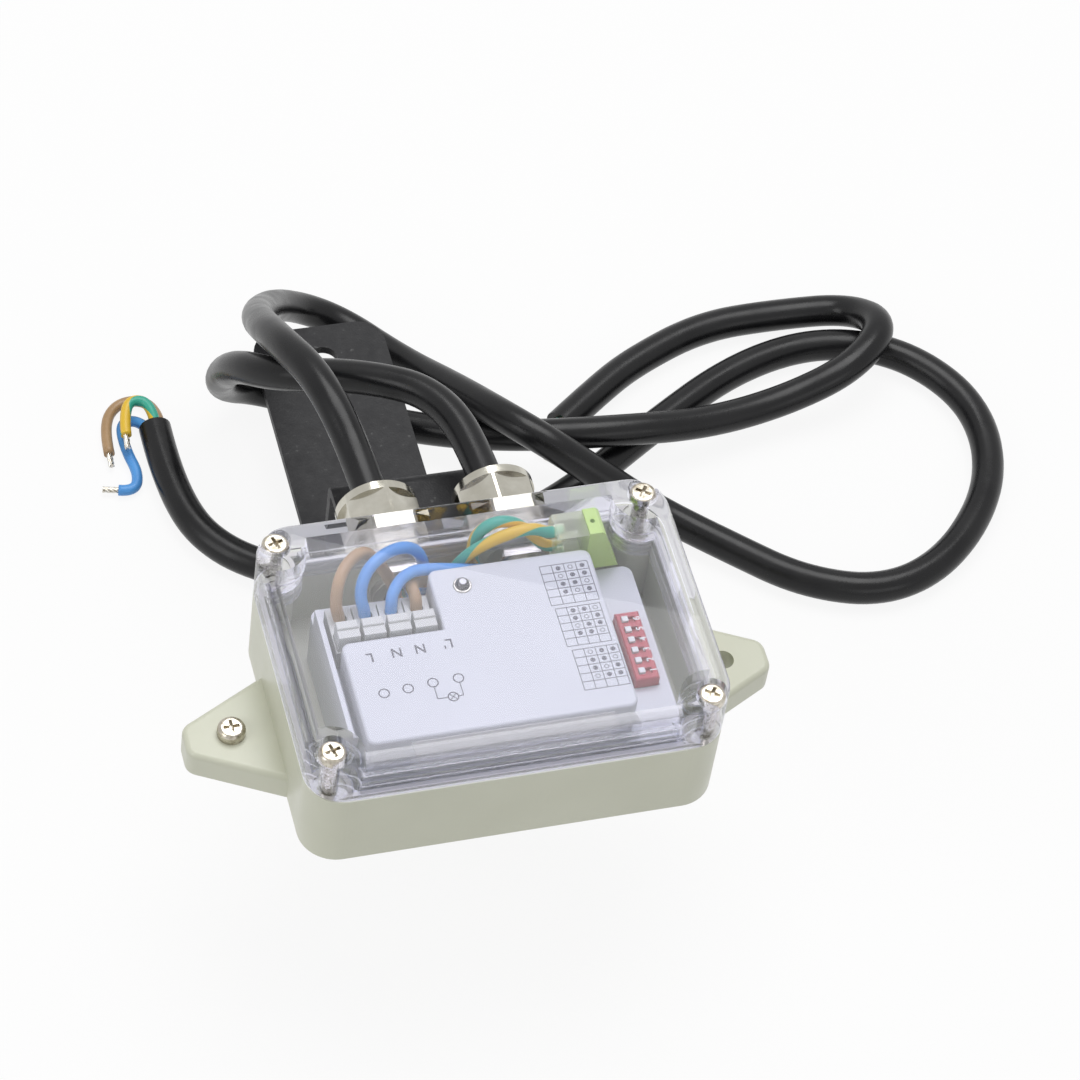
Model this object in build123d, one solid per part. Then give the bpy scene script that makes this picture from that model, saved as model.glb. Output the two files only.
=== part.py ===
from build123d import *
import math
import os

# Lighting control sensor in a splash-proof box, on a Z bracket, with two cable tails.
# All sizes in mm. The box is laid out from the centre of its underside (X along its
# length, +Y to the cable glands, +Z up). ORIGIN moves everything, so that the row's
# origin is the middle of the bracket's fixing hole, on the foot's underside.

# ---- box
LENGTH = 83.0
WIDTH = 58.0
SEAM = 19.5            # height of the base's rim
TOP = 32.25            # height of the closed box
CORNER_R = 7.5
WALL = 2.0
FLOOR_T = 2.5
LID_T = 2.2
SCREW_X = 37.1         # lid screws, half pitch
SCREW_Y = 25.0
POST_R = 4.4
PILOT_R = 1.45
# ---- gasket and lip
GASKET_W = 1.0
GASKET_DEEP = 0.8      # sunk in the rim
GASKET_PROUD = 0.4     # shows as the pale line
LIP_GAP = 0.3
LIP_W = 1.0
LIP_DEEP = 2.0
# ---- lid screws
HEAD_R = 2.7
HEAD_H = 2.0
HEAD_GAP = 0.35
SHANK_R = 1.4
SHANK_GAP = 0.25
SCREW_LEN = 20.0
# ---- lugs
LUG_X = 50.0
LUG_TIP = 59.3
LUG_ROOT_Y = 13.3
LUG_TIP_Y = 3.4
LUG_H = 6.1
LUG_HOLE_R = 2.2
LUG_SCREW_R = 2.0
LUG_HEAD_R = 2.8
LUG_HEAD_H = 2.3
LUG_SCREW_LEN = 10.0
# ---- glands
GLAND_X = (-10.6, 13.7)
GLAND_Z = 10.5
GLAND_AF = 15.0
THREAD_R = 6.2
THREAD_GAP = 0.15
WASHER_R = 7.4
WASHER_T = 1.0
HEX_T = 5.0
NECK_R = 5.6
NECK_GAP = 0.1         # running clearance, nut on neck
NUT_START = 6.4        # distances out from the back wall
NECK_END = 14.2
NUT_HEX_END = 15.8
NUT_COLLAR_END = 17.6
NUT_END = 19.4
NUT_COLLAR_R = 8.4
THREAD_IN = 6.0        # inner end of the gland, in from the wall's outer face
LOCKNUT_AF = 14.0      # clears the lid's lip above it
LOCKNUT_T = 3.0
SEAL_R = 4.9
# ---- cables
CABLE_D = 7.1
CABLE_GAP = 0.35
CORE_D = 2.4
TIP_D = 1.5
TABLE = -46.5          # the surface that the cables lie on
# ---- bracket
STRIP_W = 29.6
STRIP_X = -1.1         # middle of the strip
STRIP_T = 2.0
FLANGE_START = -14.0
LEG_Y = 62.6
FOOT_TOP = -34.0
FOOT_END = 133.0
BEND_R = 1.0
FOOT_CORNER_R = 6.0
FOOT_HOLE_Y = 123.6
FOOT_HOLE_R = 3.25
FIX_Y = (-4.0, 16.0)   # screws that hold the box on the bracket
FIX_R = 1.5
FIX_GAP = 0.2
FIX_HEAD_R = 2.9
# ---- sensor module
TRAY = (-31.0, 34.4, -21.5, 18.6)
TRAY_R = 2.0
TRAY_TOP = 14.6
DECK_TOP = 16.0
COVER = (-28.6, 24.9, -20.2, 18.4)
COVER_R = 1.8
SIDE_WALL_H = 5.0      # thin wall at the cover's left side
COVER_TOP = 24.0
SHELL = 1.5
BOARD_Z = 11.0
BOARD_T = 1.5
PITCH = 5.08           # terminals
TERM_X0 = -29.0
TERM_Y = (4.3, 15.0)
TERM_TOP = 20.5
BUTTON = (4.3, 3.8, 4.4)
BUTTON_INSET = 0.6     # from the block's front to the button
BUTTON_TRAVEL = 0.8
BUTTON_GAP = 0.15
ENTRY_Y = 12.4
ENTRY_R = 1.35
DIP_X = (27.4, 32.2)
DIP_MID_Y = -2.6
DIP_TOP = 18.5
DIP_PITCH = 2.54
DIP_COUNT = 6
SLIDER = (1.2, 1.2, 1.3)
SLIDER_TRAVEL = 1.4
SLIDER_GAP = 0.1
LENS_AT = (-2.0, 13.6)
LENS_R = 1.5
SPLICE = (18.4, 25.0, 18.9, 25.3, 18.2, 27.2)   # clear half: X, X, Y, Y, Z, Z
SPLICE_CAP = ((25.0, 16.3), (32.0, 16.3), (31.4, 17.4), (30.4, 20.5), (28.4, 26.8), (27.6, 27.6),
              (25.0, 27.6))
SPLICE_ENTRY_Y = 22.3
SPLICE_ENTRY_Z = (20.9, 25.3)

ORIGIN = (-STRIP_X, -FOOT_HOLE_Y, STRIP_T - FOOT_TOP)
BACK = WIDTH / 2


def block(x0, x1, y0, y1, z0, z1):
    return Pos((x0 + x1) / 2, (y0 + y1) / 2, (z0 + z1) / 2) * Box(x1 - x0, y1 - y0, z1 - z0)


def rod(r, z0, z1, x=0.0, y=0.0):
    return Pos(x, y, (z0 + z1) / 2) * Cylinder(r, z1 - z0)


def slab(w, d, r, z0, z1):
    return extrude(Pos(0, 0, z0) * RectangleRounded(w, d, r), z1 - z0)


def hexagon(af, z0, z1):
    return extrude(Pos(0, 0, z0) * RegularPolygon(af / 2, 6, major_radius=False), z1 - z0)


def corners(r, z0, z1):
    out = None
    for sx in (-1, 1):
        for sy in (-1, 1):
            c = rod(r, z0, z1, sx * SCREW_X, sy * SCREW_Y)
            out = c if out is None else out + c
    return out


def notched(w, d, r, post_r, z0, z1):
    # rounded rectangle that bends round the four screw posts
    return slab(w, d, r, z0, z1) - corners(post_r, z0 - 1, z1 + 1)


def outward(shape, x):
    # built along +Z from the wall's outer face, turned to point along +Y
    return Pos(x, BACK, GLAND_Z) * Rot(-90, 0, 0) * shape


def edges_at(shape, z):
    return shape.edges().filter_by_position(Axis.Z, z - 0.01, z + 0.01)


def gasket_ring(z0, z1, grow=0.0):
    w = LENGTH - 2 * WALL
    d = WIDTH - 2 * WALL
    g = 0.1 - grow
    outer = notched(w + 2 * GASKET_W + 0.2 + 2 * grow, d + 2 * GASKET_W + 0.2 + 2 * grow,
                    4.8, POST_R - GASKET_W - 0.1 - grow, z0, z1)
    inner = notched(w + 2 * g, d + 2 * g, 4.0, POST_R - g, z0 - 1, z1 + 1)
    return outer - inner


# ---------------------------------------------------------------- box
def lug(side):
    pts = [(38.5, LUG_ROOT_Y + 0.8), (LUG_TIP, LUG_TIP_Y), (LUG_TIP, -LUG_TIP_Y),
           (38.5, -LUG_ROOT_Y - 0.8)]
    face = make_face(Polyline(*[(side * x, y) for x, y in pts], close=True))
    body = extrude(face, LUG_H)
    tip = body.edges().filter_by(Axis.Z).sort_by(Axis.X)
    body = fillet(tip[-2:] if side > 0 else tip[:2], 3.0)
    body = fillet(edges_at(body, LUG_H), 1.2)
    return body - rod(LUG_HOLE_R, -1, LUG_H + 1, side * LUG_X)


def make_base():
    body = slab(LENGTH, WIDTH, CORNER_R, 0, SEAM)
    body = chamfer(edges_at(body, 0), 0.5)
    body -= notched(LENGTH - 2 * WALL, WIDTH - 2 * WALL, 4.0, POST_R, FLOOR_T, SEAM + 1)
    for side in (-1, 1):
        body += lug(side) - slab(LENGTH - 1, WIDTH - 1, CORNER_R, -1, LUG_H + 1)
    body -= gasket_ring(SEAM - GASKET_DEEP, SEAM + 1)
    body -= corners(PILOT_R + SHANK_GAP, FLOOR_T + 1.5, SEAM + 1)
    for x in GLAND_X:
        body -= outward(rod(THREAD_R + THREAD_GAP, -WALL - 1, 1), x)
    for y in FIX_Y:
        body -= rod(FIX_R + FIX_GAP, -1, FLOOR_T + 1, STRIP_X, y)
        body -= Pos(STRIP_X, y, FLOOR_T - 0.8) * Cone(FIX_R + FIX_GAP, FIX_HEAD_R + FIX_GAP, 1.6)
    return body


def make_gasket():
    return gasket_ring(SEAM - GASKET_DEEP, SEAM + GASKET_PROUD)


def make_lid():
    low = SEAM + GASKET_PROUD
    body = slab(LENGTH, WIDTH, CORNER_R, low, TOP)
    body = fillet(edges_at(body, TOP), 1.8)
    w = LENGTH - 2 * WALL
    d = WIDTH - 2 * WALL
    # the inner wall steps in twice on its way up
    body -= notched(w - 0.2, d - 0.2, 4.0, POST_R + 1.0, low - 1, low + 2.2)
    body -= notched(w - 1.2, d - 1.2, 4.0, POST_R + 1.4, low + 1, low + 5.0)
    body -= notched(w - 2.2, d - 2.2, 4.0, POST_R + 1.8, low + 4, TOP - LID_T)
    lip_w = w - 2 * LIP_GAP
    lip_d = d - 2 * LIP_GAP
    lip = notched(lip_w, lip_d, 3.8, POST_R + LIP_GAP, low - LIP_DEEP, low + 1.0)
    lip -= notched(lip_w - 2 * LIP_W, lip_d - 2 * LIP_W, 3.0, POST_R + LIP_GAP + LIP_W + 0.2,
                   low - LIP_DEEP - 1, low + 2.0)
    body += lip
    body -= corners(PILOT_R + SHANK_GAP, low - 5, TOP + 1)
    body -= corners(HEAD_R + HEAD_GAP, TOP - HEAD_H - 0.6, TOP + 1)
    return body


def pan_screw(r, head_r, head_h, length):
    # head underside at z = 0, cross recess in the head
    head = rod(head_r, 0, head_h)
    head = fillet(edges_at(head, head_h), head_h * 0.42)
    slot = head_r * 1.15
    head -= block(-slot / 2, slot / 2, -0.35, 0.35, head_h - 1.1, head_h + 1)
    head -= block(-0.35, 0.35, -slot / 2, slot / 2, head_h - 1.1, head_h + 1)
    tip = Pos(0, 0, -length + 0.6) * Cone(r * 0.45, r, 1.2)
    return head + rod(r, -length + 1.2, 0) + tip


def make_lid_screws():
    seat = TOP - HEAD_H - 0.6
    out = []
    for sx in (-1, 1):
        for sy in (-1, 1):
            screw = pan_screw(SHANK_R, HEAD_R, HEAD_H, SCREW_LEN)
            out.append(Pos(sx * SCREW_X, sy * SCREW_Y, seat) * Rot(0, 0, 20 * sx + 35) * screw)
    return Compound(children=out)


def make_lug_screw():
    return Pos(-LUG_X, 0, LUG_H) * pan_screw(LUG_SCREW_R, LUG_HEAD_R, LUG_HEAD_H, LUG_SCREW_LEN)


# ---------------------------------------------------------------- glands
def make_gland_bodies():
    out = []
    for x in GLAND_X:
        body = rod(THREAD_R, -THREAD_IN, WASHER_T)
        nut = hexagon(GLAND_AF, WASHER_T, WASHER_T + HEX_T)
        nut &= rod(GLAND_AF * 0.565, WASHER_T, WASHER_T + HEX_T)
        body += nut + rod(NECK_R, WASHER_T + HEX_T, NECK_END)
        body -= rod(CABLE_D / 2 + CABLE_GAP, -THREAD_IN - 1, NECK_END + 1)
        body -= rod(SEAL_R, 8.2, NECK_END + 1)
        out.append(outward(body, x))
    return Compound(children=out)


def make_gland_washers():
    ring = rod(WASHER_R, 0, WASHER_T) - rod(THREAD_R + 0.05, -1, WASHER_T + 1)
    return Compound(children=[outward(ring, x) for x in GLAND_X])


def make_gland_seals():
    ring = rod(SEAL_R, 8.2, NECK_END) - rod(CABLE_D / 2, 8, NECK_END + 1)
    return Compound(children=[outward(ring, x) for x in GLAND_X])


def make_gland_locknuts():
    top = -WALL
    nut = hexagon(LOCKNUT_AF, top - LOCKNUT_T, top) & rod(LOCKNUT_AF * 0.565, top - LOCKNUT_T, top)
    nut -= rod(THREAD_R + 0.05, top - LOCKNUT_T - 1, top + 1)
    return Compound(children=[outward(nut, x) for x in GLAND_X])


def make_dome_nut(x, turn):
    body = hexagon(GLAND_AF, NUT_START, NUT_HEX_END)
    body &= rod(NUT_COLLAR_R + 0.1, NUT_START, NUT_HEX_END)
    body = Rot(0, 0, turn) * body
    collar = rod(NUT_COLLAR_R, NUT_HEX_END, NUT_COLLAR_END)
    dome = Pos(0, 0, (NUT_COLLAR_END + NUT_END) / 2)
    dome = dome * Cone(NUT_COLLAR_R, 6.0, NUT_END - NUT_COLLAR_END)
    body += collar + dome
    body -= rod(NECK_R + NECK_GAP, NUT_START - 1, NECK_END + 0.3)
    body -= rod(CABLE_D / 2 + CABLE_GAP, NECK_END, NUT_END + 1)
    return outward(body, x)


# ---------------------------------------------------------------- bracket
def make_bracket():
    t = STRIP_T
    x0 = STRIP_X - STRIP_W / 2
    x1 = STRIP_X + STRIP_W / 2
    flange = block(x0, x1, FLANGE_START, LEG_Y, -t, 0)
    leg = block(x0, x1, LEG_Y - t, LEG_Y, FOOT_TOP - t, 0)
    foot = block(x0, x1, LEG_Y - t, FOOT_END, FOOT_TOP - t, FOOT_TOP)
    end = foot.edges().filter_by(Axis.Z).sort_by(Axis.Y)[-2:]
    foot = fillet(end, FOOT_CORNER_R)
    start = flange.edges().filter_by(Axis.Z).sort_by(Axis.Y)[:2]
    flange = fillet(start, FOOT_CORNER_R)
    body = flange + leg + foot
    bends = body.edges().filter_by(Axis.X)
    outer = [e for e in bends if abs(e.center().Y - LEG_Y) < 0.1 and abs(e.center().Z) < 0.1]
    outer += [e for e in bends if abs(e.center().Y - LEG_Y + t) < 0.1
              and abs(e.center().Z - FOOT_TOP + t) < 0.1]
    body = fillet(outer, BEND_R + t - 0.2)
    inner = [e for e in body.edges().filter_by(Axis.X)
             if abs(e.center().Y - LEG_Y + t) < 0.1 and abs(e.center().Z + t) < 0.1]
    inner += [e for e in body.edges().filter_by(Axis.X)
              if abs(e.center().Y - LEG_Y) < 0.1 and abs(e.center().Z - FOOT_TOP) < 0.1]
    body = fillet(inner, BEND_R)
    body -= rod(FOOT_HOLE_R, FOOT_TOP - t - 1, FOOT_TOP + 1, STRIP_X, FOOT_HOLE_Y)
    for y in FIX_Y:
        body -= rod(FIX_R + FIX_GAP, -t - 1, 1, STRIP_X, y)
    return body


def make_bracket_screws():
    out = []
    for y in FIX_Y:
        screw = rod(FIX_R, -STRIP_T - 3.4, FLOOR_T - 1.7)
        screw += Pos(0, 0, FLOOR_T - 0.9) * Cone(FIX_R, FIX_HEAD_R, 1.6)
        screw -= block(-1.8, 1.8, -0.3, 0.3, FLOOR_T - 0.9, FLOOR_T + 1)
        out.append(Pos(STRIP_X, y, 0) * screw)
    return Compound(children=out)


def make_bracket_nuts():
    nut = hexagon(5.5, -STRIP_T - 2.4, -STRIP_T) - rod(FIX_R + 0.05, -9, 1)
    return Compound(children=[Pos(STRIP_X, y, 0) * nut for y in FIX_Y])


# ---------------------------------------------------------------- sensor module
def make_tray():
    x0, x1, y0, y1 = TRAY
    body = block(x0, x1, y0, y1, FLOOR_T, TRAY_TOP)
    body = fillet(body.edges().filter_by(Axis.Z), TRAY_R)
    s = SHELL
    body -= block(x0 + s, x1 - s, y0 + s, y1 - s, BOARD_Z, TRAY_TOP + 1)
    body -= block(x0 + 2 * s, x1 - 2 * s, y0 + 2 * s, y1 - 2 * s, FLOOR_T + s, TRAY_TOP + 1)
    return body


def terminal_span():
    return TERM_X0, TERM_X0 + 4 * PITCH


def dip_span():
    half = (DIP_COUNT * DIP_PITCH + 1.2) / 2
    return DIP_MID_Y - half, DIP_MID_Y + half


def make_cover():
    x0, x1, y0, y1 = TRAY
    deck = block(x0, x1, y0, y1, TRAY_TOP, DECK_TOP)
    deck = fillet(deck.edges().filter_by(Axis.Z), TRAY_R)
    cx0, cx1, cy0, cy1 = COVER
    t0, t1 = terminal_span()
    top = block(cx0, cx1, cy0, cy1, TRAY_TOP, COVER_TOP)
    top -= block(cx0 - 1, t1 + 0.6, TERM_Y[0] - 0.2, cy1 + 1, TRAY_TOP - 1, COVER_TOP + 1)
    inner = (t1 + 0.6, TERM_Y[0] - 0.2, COVER_TOP)
    top = fillet(top.edges().filter_by(Axis.Z).sort_by_distance(inner)[1:], COVER_R)
    top = fillet(edges_at(top, COVER_TOP), 0.6)
    body = deck + top
    s = SHELL
    body -= block(cx0 + s, cx1 - s, cy0 + s, TERM_Y[0] - 0.2 - s, TRAY_TOP - 1, COVER_TOP - s)
    body -= block(t1 + 0.6 + s, cx1 - s, cy0 + s, cy1 - s, TRAY_TOP - 1, COVER_TOP - s)
    body -= block(t0 - 0.2, t1 + 0.2, TERM_Y[0] - 0.2, TERM_Y[1] + 0.2, TRAY_TOP - 1, DECK_TOP + 1)
    d0, d1 = dip_span()
    body -= block(DIP_X[0] - 0.2, DIP_X[1] + 0.2, d0 - 0.2, d1 + 0.2, TRAY_TOP - 1, DECK_TOP + 1)
    body += block(x0, x0 + 1.0, -18.0, 15.0, DECK_TOP, DECK_TOP + SIDE_WALL_H)
    body -= rod(LENS_R + 0.1, COVER_TOP - 3, COVER_TOP + 1, *LENS_AT)
    return body


def make_board():
    x0, x1, y0, y1 = TRAY
    e = SHELL + 0.2
    return block(x0 + e, x1 - e, y0 + e, y1 - e, BOARD_Z, BOARD_Z + BOARD_T)


def make_relay():
    z = BOARD_Z + BOARD_T
    body = block(-25.0, -13.0, -18.0, 1.0, z, z + 9.5)
    return fillet(body.edges().filter_by(Axis.Z), 0.5)


def make_antenna():
    z = BOARD_Z + BOARD_T
    body = block(-6.0, 22.0, -17.5, 6.0, 20.0, 21.2)
    for x in (-4.5, 20.5):
        for y in (-16.0, 4.5):
            body += rod(0.8, z, 20.5, x, y)
    body += block(2.0, 5.0, -8.0, -5.0, 21.0, 21.8) + block(9.0, 15.0, -12.0, 2.0, 21.0, 21.3)
    return body


def make_terminals():
    t0, t1 = terminal_span()
    body = block(t0, t1, TERM_Y[0], TERM_Y[1], BOARD_Z + BOARD_T, TERM_TOP)
    for i in range(1, 4):
        x = t0 + i * PITCH
        body -= block(x - 0.15, x + 0.15, TERM_Y[0] - 1, TERM_Y[1] + 1, TERM_TOP - 1.2, TERM_TOP + 1)
    for i in range(4):
        x = t0 + (i + 0.5) * PITCH
        body -= rod(ENTRY_R, TERM_TOP - 4.5, TERM_TOP + 1, x, ENTRY_Y)
        w = BUTTON[0] / 2 + BUTTON_GAP
        d = BUTTON[1] / 2 + BUTTON_GAP
        y = TERM_Y[0] + BUTTON_INSET + BUTTON[1] / 2
        body -= block(x - w, x + w, y - d, y + d, TERM_TOP - 3.2, TERM_TOP + 1)
    return body


def make_terminal_button(i):
    x = terminal_span()[0] + (i + 0.5) * PITCH
    y = TERM_Y[0] + BUTTON_INSET + BUTTON[1] / 2
    w, d, proud = BUTTON
    body = block(x - w / 2, x + w / 2, y - d / 2, y + d / 2, TERM_TOP - 3.2 + BUTTON_TRAVEL + 0.2,
                 TERM_TOP + proud)
    # the front half of the button's top is a step lower
    body -= block(x - w, x + w, y - d, y, TERM_TOP + proud - 0.5, TERM_TOP + proud + 1)
    return fillet(edges_at(body, TERM_TOP + proud), 0.25)


def slider_y(i):
    return DIP_MID_Y + (i - (DIP_COUNT - 1) / 2) * DIP_PITCH


def make_dip_body():
    d0, d1 = dip_span()
    body = block(DIP_X[0], DIP_X[1], d0, d1, BOARD_Z + BOARD_T, DIP_TOP)
    body = chamfer(edges_at(body, DIP_TOP), 0.25)
    for i in range(DIP_COUNT):
        y = slider_y(i)
        x0 = DIP_X[0] + 1.0
        x1 = x0 + SLIDER[0] + SLIDER_TRAVEL
        g = SLIDER_GAP
        body -= block(x0 - g, x1 + g, y - SLIDER[1] / 2 - g, y + SLIDER[1] / 2 + g, DIP_TOP - 0.9, DIP_TOP + 1)
    return body


def make_slider(i):
    y = slider_y(i)
    x0 = DIP_X[0] + 1.0
    return block(x0, x0 + SLIDER[0], y - SLIDER[1] / 2, y + SLIDER[1] / 2, DIP_TOP - 0.8,
                 DIP_TOP - 0.8 + SLIDER[2])


def make_lens():
    under = COVER_TOP - SHELL
    dome = Pos(*LENS_AT, COVER_TOP + 0.2) * Sphere(LENS_R)
    dome &= rod(LENS_R, COVER_TOP + 0.2, COVER_TOP + 4, *LENS_AT)
    dome &= rod(LENS_R, COVER_TOP, COVER_TOP + 1.4, *LENS_AT)
    return rod(LENS_R, under, COVER_TOP + 0.21, *LENS_AT) + dome + rod(3.3, under - 1.0, under, *LENS_AT)


def make_label():
    return block(-20.0, 20.0, COVER[2] - 0.2, COVER[2], DECK_TOP + 0.8, COVER_TOP - 1.2)


def make_splice(clear):
    x0, x1, y0, y1, z0, z1 = SPLICE
    if clear:
        body = block(x0, x1, y0, y1, z0, z1)
        body = fillet(body.edges().filter_by(Axis.Y).sort_by(Axis.X)[:2], 0.8)
        for z in SPLICE_ENTRY_Z:
            body -= Pos(x0 + 1.1, SPLICE_ENTRY_Y, z) * Rot(0, 90, 0) * Cylinder(ENTRY_R, 2.4)
        return body
    outline = make_face(Polyline(*[(x, 0, z) for x, z in SPLICE_CAP], close=True))
    body = extrude(outline, amount=y1 - y0, dir=(0, 1, 0))
    body = Pos(0, y0, 0) * body
    return body - rod(0.5, z1 - 3, z1 + 1, (SPLICE_CAP[0][0] + SPLICE_CAP[5][0]) / 2, (y0 + y1) / 2)


# ---------------------------------------------------------------- wires and cables
def tube(name, points, d, tight=False):
    pts = [Vector(*p) for p in points]
    radii = []
    for i in range(1, len(pts) - 1):
        a = pts[i] - pts[i - 1]
        b = pts[i + 1] - pts[i]
        turn = math.radians(a.get_angle(b))
        radii.append(0.45 * min(a.length, b.length) / math.tan(turn / 2))
    path = FilletPolyline(*pts, radius=radii)
    ring = Plane(origin=path @ 0, z_dir=path % 0) * Circle(d / 2)
    solid = sweep(ring, path=path)
    length = path.length
    ratio = solid.volume / (math.pi * d * d / 4 * length)
    print(name, "length", round(length, 1), "radii", [round(r, 1) for r in radii],
          "volume ratio", round(ratio, 3))
    return solid


LEFT_ROUTE = [
    (-10.6, 31.0, 10.5), (-10.6, 53.5, 10.5), (-15.4, 75.6, 17.3), (-21.3, 95.0, 10.6),
    (-18.9, 120.0, -12.0), (-7.5, 141.0, -33.5), (6.4, 142.3, -42.9), (18.2, 127.1, -42.9),
    (25.8, 110.5, -34.3), (32.3, 94.6, -26.6), (39.8, 86.0, -26.5), (50.5, 80.9, -33.5),
    (62.8, 75.0, -41.5), (75.9, 64.0, -42.9), (90.3, 50.8, -42.9), (108.1, 45.2, -42.9),
    (125.5, 52.5, -42.9), (140.9, 71.3, -42.9), (143.8, 92.9, -42.9), (132.4, 110.5, -42.9),
    (114.0, 117.3, -42.9), (92.4, 113.0, -42.9), (68.3, 98.7, -42.9), (43.1, 81.7, -42.9),
    (13.6, 71.7, -42.9), (-17.5, 71.4, -42.9), (-34.2, 82.4, -42.9), (-40.0, 99.9, -42.9),
    (-39.8, 117.6, -42.9)]

RIGHT_ROUTE = [
    (13.7, 31.0, 10.5), (13.7, 52.0, 10.5), (9.6, 73.2, 10.6), (-5.0, 84.0, 7.0),
    (-20.5, 91.6, 1.2), (-27.2, 105.2, -9.5), (-25.8, 120.0, -34.4), (-14.6, 124.6, -42.9),
    (3.8, 113.9, -42.9), (18.9, 104.1, -40.0), (36.7, 95.1, -34.8), (58.9, 92.7, -34.5),
    (79.5, 94.6, -38.5), (99.0, 98.6, -39.5), (115.4, 101.2, -34.2), (126.6, 111.6, -33.2),
    (122.9, 124.4, -41.4), (105.9, 126.6, -42.9), (87.8, 125.9, -42.9), (69.6, 118.1, -42.9),
    (59.0, 111.0, -42.9), (50.4, 104.4, -42.9)]

WIRE_Y = 20.9          # the gap behind the module, where the cores turn up
CORE_Y = LEFT_ROUTE[0][1]
LEFT_X, RIGHT_X = GLAND_X
TOP_Z = GLAND_Z + 0.7
LOW_Z = GLAND_Z - 1.3
TERM_AT = [TERM_X0 + (i + 0.5) * PITCH for i in range(4)]
ENTRY_Z = TERM_TOP - 4.1
INNER_WIRES = {
    "wire_brown_left": [
        (LEFT_X - 1.3, CORE_Y, TOP_Z), (LEFT_X - 1.6, 21.2, TOP_Z + 0.3), (-13.4, 21.4, 17.0),
        (-17.2, 22.2, 24.6), (-20.2, 22.4, 28.3), (-24.4, 19.2, 28.5), (-26.8, 15.4, 27.6),
        (-27.5, 13.0, 23.6), (TERM_AT[0], ENTRY_Y, 20.2), (TERM_AT[0], ENTRY_Y, ENTRY_Z)],
    "wire_blue_left": [
        (LEFT_X + 1.3, CORE_Y, TOP_Z), (LEFT_X + 1.3, 21.0, TOP_Z), (-7.4, 20.9, 13.8),
        (-6.9, 22.6, 17.6), (-7.4, 23.2, 21.4), (-9.4, 22.8, 25.8), (-13.0, 21.8, 28.4),
        (-17.4, 20.0, 28.5), (-21.0, 17.0, 28.0), (-22.6, 14.0, 25.0), (TERM_AT[1], ENTRY_Y, 20.8),
        (TERM_AT[1], ENTRY_Y, ENTRY_Z)],
    "wire_earth_left": [
        (LEFT_X, CORE_Y, LOW_Z - 0.2), (LEFT_X + 0.2, WIRE_Y - 0.3, LOW_Z - 0.2), (-5.4, WIRE_Y - 0.3, 8.6),
        (-1.6, 22.7, 12.8), (-0.8, 22.75, 18.4), (2.6, 21.7, 24.4), (8.4, 21.6, 27.8),
        (14.2, 22.0, 28.2), (17.6, SPLICE_ENTRY_Y, 25.3), (20.4, SPLICE_ENTRY_Y, 25.3)],
    "wire_brown_right": [
        (RIGHT_X - 1.3, CORE_Y, TOP_Z), (RIGHT_X - 1.5, WIRE_Y - 0.3, TOP_Z + 0.3), (6.4, WIRE_Y - 0.6, 13.6),
        (-1.0, WIRE_Y - 0.9, 16.2), (-8.6, WIRE_Y - 0.9, 19.0), (-11.4, 17.4, 21.6),
        (TERM_AT[3], 14.0, 22.6), (TERM_AT[3], ENTRY_Y, 20.6), (TERM_AT[3], ENTRY_Y, ENTRY_Z)],
    "wire_blue_right": [
        (RIGHT_X + 1.3, CORE_Y, TOP_Z), (RIGHT_X + 1.2, WIRE_Y - 0.3, TOP_Z + 0.5), (11.6, WIRE_Y - 0.5, 17.6),
        (3.0, WIRE_Y - 0.95, 19.8), (-8.8, WIRE_Y - 0.8, 22.8), (-13.2, 17.4, 24.6),
        (-16.0, 14.2, 23.8), (TERM_AT[2], ENTRY_Y, 20.8), (TERM_AT[2], ENTRY_Y, ENTRY_Z)],
    "wire_earth_right": [
        (RIGHT_X, CORE_Y, LOW_Z), (RIGHT_X - 0.2, WIRE_Y + 0.1, LOW_Z - 0.4), (9.4, WIRE_Y + 0.2, 8.6),
        (4.6, 22.4, 12.8), (3.0, 24.4, 18.8), (3.0, 24.4, 24.6), (5.6, 24.3, 28.4),
        (9.8, 24.5, 28.4), (13.6, 23.9, 25.4), (16.4, 22.6, 21.8), (18.8, SPLICE_ENTRY_Y, 20.9),
        (20.6, SPLICE_ENTRY_Y, 20.9)]}

# far ends of the cores, laid about the end of each sheath
LEFT_END = LEFT_ROUTE[-1]
RIGHT_END = RIGHT_ROUTE[-1]
END_CORES = {
    "left_end_earth": [(-39.8, 117.6, -41.4), (-39.6, 123.2, -41.0), (-44.2, 124.6, -40.6),
                       (-46.2, 119.8, -41.2), (-46.6, 115.4, -41.6)],
    "left_end_blue": [(-41.1, 117.6, -43.7), (-42.4, 121.6, -44.6), (-46.8, 121.8, -44.8),
                      (-46.9, 114.0, -45.0), (-45.4, 107.0, -45.1), (-47.2, 102.4, -45.1),
                      (-50.6, 103.4, -45.1)],
    "left_end_brown": [(-38.5, 117.6, -43.7), (-38.0, 122.4, -44.2), (-40.6, 127.6, -44.9),
                       (-46.6, 127.4, -45.1), (-50.4, 121.6, -45.1), (-50.6, 113.6, -45.1)],
    "right_end_earth": [(50.4, 104.4, -41.4), (47.6, 102.3, -41.8), (45.0, 100.2, -42.7)],
    "right_end_blue": [(51.2, 103.3, -43.7), (48.4, 101.0, -44.5), (46.2, 98.6, -45.1)],
    "right_end_brown": [(49.6, 105.5, -43.7), (46.8, 103.6, -44.6), (44.0, 102.8, -45.1)]}


def bare_tip(points, length):
    # the tinned strands beyond the insulation
    a = Vector(*points[-2])
    b = Vector(*points[-1])
    way = (b - a).normalized()
    core = Plane(origin=b, z_dir=way) * Pos(0, 0, length / 2) * Cylinder(TIP_D / 2, length)
    return core


def save(name, shape):
    if isinstance(shape, ShapeList):
        shape = Compound(children=list(shape))
    export_step(Pos(*ORIGIN) * shape, "parts/" + name + ".step")


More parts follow.
